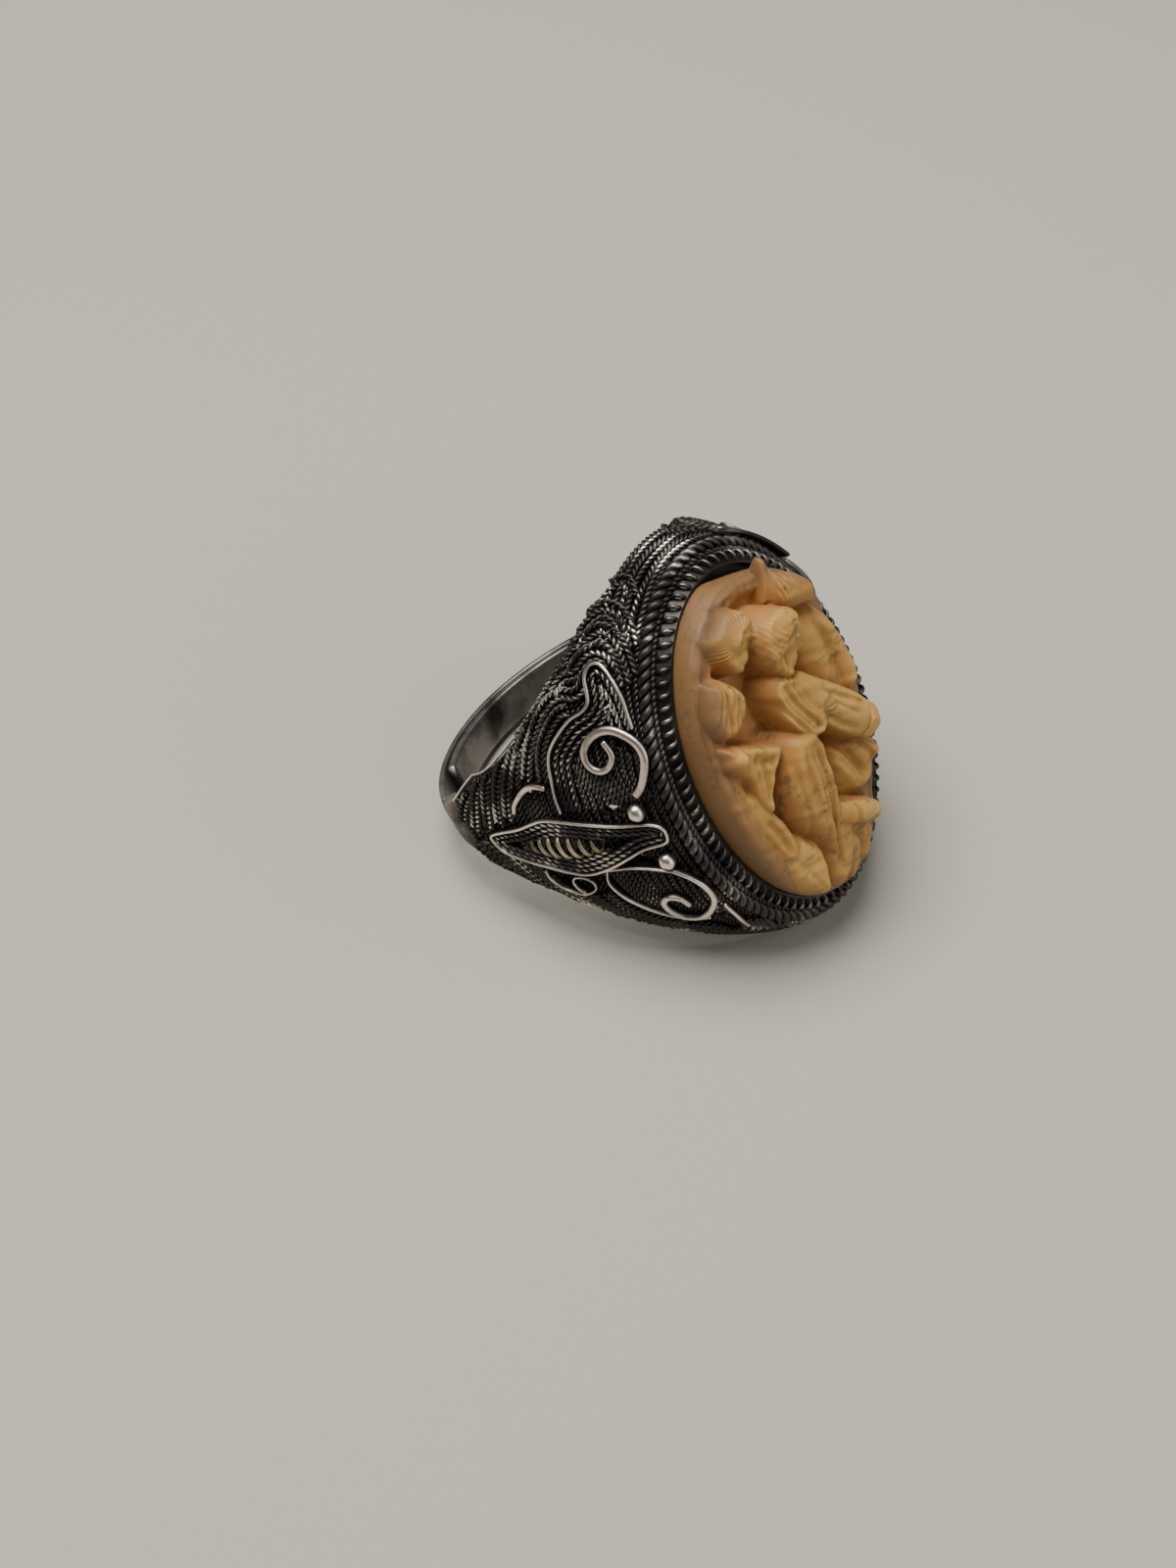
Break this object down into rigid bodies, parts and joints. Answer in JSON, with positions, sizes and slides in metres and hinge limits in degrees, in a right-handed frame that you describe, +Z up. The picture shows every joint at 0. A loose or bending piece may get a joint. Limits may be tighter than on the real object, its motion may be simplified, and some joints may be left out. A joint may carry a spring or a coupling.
{
  "type": "cameo ring",
  "caption": "Finger ring with a pierced filigree shank, twisted-wire shoulders and an oval plaque carved with robed figures, lying on its side.",
  "frame": {"origin": "centre of the bounding box in X and Y, at its lowest point in Z", "axes": "+Z up with the ring lying on its side; +X points from the back of the shank towards the head; Y runs across the finger hole"},
  "size_m": [0.0246, 0.0196, 0.0205],
  "materials": {
    "oxidised_silver": "tarnished silver, worn bright on raised wires",
    "carved_bone": "waxy carved bone, brown in the hollows"
  },
  "bodies": {
    "root": {"silver_mount": "oxidised_silver", "carved_plaque": "carved_bone"}
  },
  "joints": []
}
